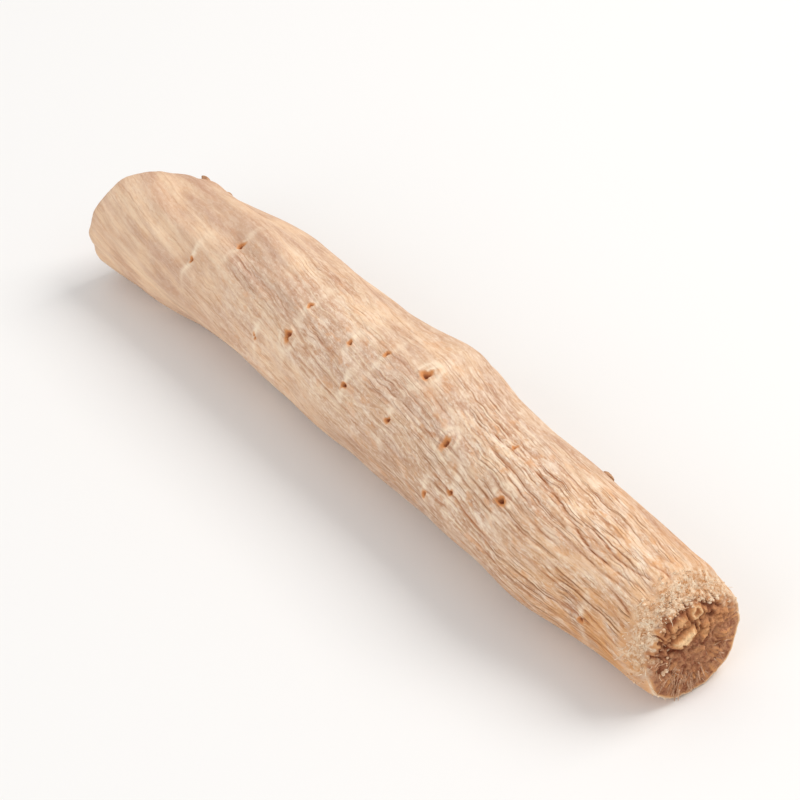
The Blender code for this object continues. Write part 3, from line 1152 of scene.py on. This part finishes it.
# %% Copy and place a shape
def copied(name, shape, copies, finish):
    """One object holding a copy of the shape for each matrix and bend."""
    bm = bmesh.new()
    for matrix, bend in copies:
        before = len(bm.verts)
        bm.from_mesh(shape)
        bm.verts.ensure_lookup_table()
        for vert in bm.verts[before:]:
            co = vert.co.copy()
            co.x += bend * co.z**2
            vert.co = matrix @ co
            vert.co.z = max(0.0, vert.co.z)
    mesh = kept(bm, name)
    mesh.shade_smooth()
    mesh.materials.append(finish)
    return in_scene(bpy.data.objects.new(name, mesh))


def surface(share, angle, reach):
    """A point of the finished surface, and the rough direction outward there."""
    place = on_root(share, angle - turn(share), reach)[0]
    forward = 1.0 if share > NEARLY else 0.4
    return place, Vector((forward, reach * math.cos(angle), reach * math.sin(angle))).normalized()


def pointing(place, direction, length, thick):
    """Turns a shape that stands along Z to a direction, and sizes it."""
    turned = direction.to_track_quat("Z", "Y")
    return Matrix.LocRotScale(place, turned, Vector((thick, thick, length)))


print("The torn rim starts", round(surface(1.0, -math.tau / 4, 1.0)[0].z / MM, 1), "mm up")

# %% [markdown]
# ## Crumbs
#
# Dry flesh breaks into grains of a few tenths of a millimetre, most of them tiny. They lie thickest
# on the crumbled rim. Each copy gets a random place, size and turn, and a seed keeps the draws the
# same at every run. The finish is two tints in fine grains: one flat tint would look like beads.

# %% Scatter the crumbs
CRUMBS = 280
LOOSE_SEED = 5
ON_RIM = 0.6
ON_UPPER_FACE = 0.85
LOOSE_REACH = 4 * MM


def at_torn_end(draw):
    """A random spot on the crumbling rim, on the bark beside it or on the face, and its way out."""
    if draw.random() < ON_RIM:
        angle = CRUMBLE_ANGLE + math.radians(draw.gauss(0, 45))
        return surface(1 - LOOSE_REACH / LENGTH * draw.random() ** 2, angle, 1.0)
    if draw.random() < ON_UPPER_FACE:
        angle = CRUMB_ANGLE - math.radians(20 + draw.gauss(0, 27))
        return surface(1.0, angle, 1 - 0.2 * draw.random() ** 1.3)
    return surface(1.0, math.radians(draw.gauss(200, 22)), 0.5 + 0.45 * draw.random())


def crumb_copies():
    draw = random.Random(LOOSE_SEED)
    for _ in range(CRUMBS):
        place = at_torn_end(draw)[0]
        size = (0.1 + 0.2 * draw.random() ** 2.5) * MM
        turned = Quaternion([draw.gauss(0, 1) for _ in range(4)]).normalized()
        yield Matrix.LocRotScale(place, turned, Vector((1.4, 1.0, 0.8)) * size), 0.0


def speckled(name, dark, light):
    """A matt finish with grains of two tints and a rough grain to match."""
    made, shader = node_material(name, light[:3], MATT)
    paint = Paint(made)
    position = paint.node("ShaderNodeTexCoord").outputs["Object"]
    grains = paint.spread(paint.noise(position, 0.0013, 1.0, 5.0, 0.75), 0.38, 0.6)
    height = paint.product(paint.noise(position, 0.0002, 1.0, 3.0, 0.6), 0.06 * MM)
    paint.colour = paint.mix(grains, dark, light)
    paint.finish(shader, height)
    return made


crumb_finish = speckled("crumb_finish", tint(202, 146, 96), PALE_CRUMB)
crumbs = copied("torn_crumbs", crumb_shape, crumb_copies(), crumb_finish)
print("Scattered", CRUMBS, "crumbs")

# %% [markdown]
# ## Torn fibres
#
# Where the root was snapped, pale fibres stick out of the crumbling rim, and duller ones lie on the
# lower part of the face. Blender's hair would draw them finer, but hair isn't a mesh and would be
# lost when the part is exported, so each fibre is a thin cone with a bend of its own.

# %% Set the fibres
FIBRES = 200
FLAT_FIBRES = 80


def fibre_copies():
    draw = random.Random(LOOSE_SEED + 1)
    for _ in range(FIBRES):
        place, outward = at_torn_end(draw)
        lean = Vector([draw.gauss(0, 1) for _ in range(3)])
        direction = (outward + lean).normalized()
        length = (0.5 + 0.9 * draw.random()) * MM
        thick = (0.04 + 0.04 * draw.random()) * MM
        yield pointing(place - 0.2 * length * direction, direction, length, thick), draw.gauss(0, 4)


def flat_fibre_copies():
    draw = random.Random(LOOSE_SEED + 2)
    for _ in range(FLAT_FIBRES):
        angle = math.radians(draw.gauss(255, 36))
        place = surface(1.0, angle, 0.45 + 0.4 * draw.random())[0]
        way = angle + math.radians(draw.gauss(0, 18))
        direction = Vector((0.15, math.cos(way), math.sin(way))).normalized()
        length = (0.8 + 0.9 * draw.random()) * MM
        thick = (0.08 + 0.06 * draw.random()) * MM
        yield pointing(place, direction, length, thick), draw.gauss(0, 2)


fibre_finish = speckled("fibre_finish", tint(226, 186, 140), tint(252, 238, 216))
flat_finish = speckled("flat_fibre_finish", tint(162, 112, 80), tint(216, 174, 140))
fibres_out = copied("torn_fibres", fibre_shape, fibre_copies(), fibre_finish)
fibres_flat = copied("face_fibres", fibre_shape, flat_fibre_copies(), flat_finish)
print("Set", FIBRES, "fibres that stick out and", FLAT_FIBRES, "that lie flat")

# %% [markdown]
# ## Rootlet stubs
#
# Where a rootlet broke off above the bark, a stub about a millimetre long breaks the outline. The
# stubs could be pulled out of the bark itself, but a separate short cone, sunk a little into it and
# leaning back, keeps a darker finish of its own.

# %% Stand the stubs on the bark
STUBS = (
    # share of the length, angle in degrees, length and thickness in millimetres
    (0.05, 36, 0.9, 1.9),
    (0.1, 40, 0.7, 1.3),
    (0.79, 28, 0.8, 1.8),
    (0.34, 300, 0.9, 1.3),
    (0.72, 338, 1.0, 1.2),
)
STUB_LEAN = Vector((0.9, 0, 0))
STUB_BEND = 0.5


def stub_copies():
    for share, degrees, length, thick in STUBS:
        place, outward = surface(share, math.radians(degrees), 1.0)
        sunk = place - 0.3 * length * MM * outward
        yield pointing(sunk, outward - STUB_LEAN, length * MM, thick / 2 * MM), STUB_BEND


stub_finish = speckled("stub_finish", tint(158, 110, 78), tint(208, 164, 126))
stubs = copied("rootlet_stubs", stub_shape, stub_copies(), stub_finish)
print("Placed", len(STUBS), "rootlet stubs")

# %% [markdown]
# ## Fix the pieces to the frame
#
# The finer surface stands for the solid root, which stays in the physics model. The small pieces
# belong to it too, so all of them ride on the one body.

# %% Ride and replace
for piece in (root, crumbs, fibres_out, fibres_flat, stubs):
    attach(piece, "root")
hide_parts("achyranthes_root")
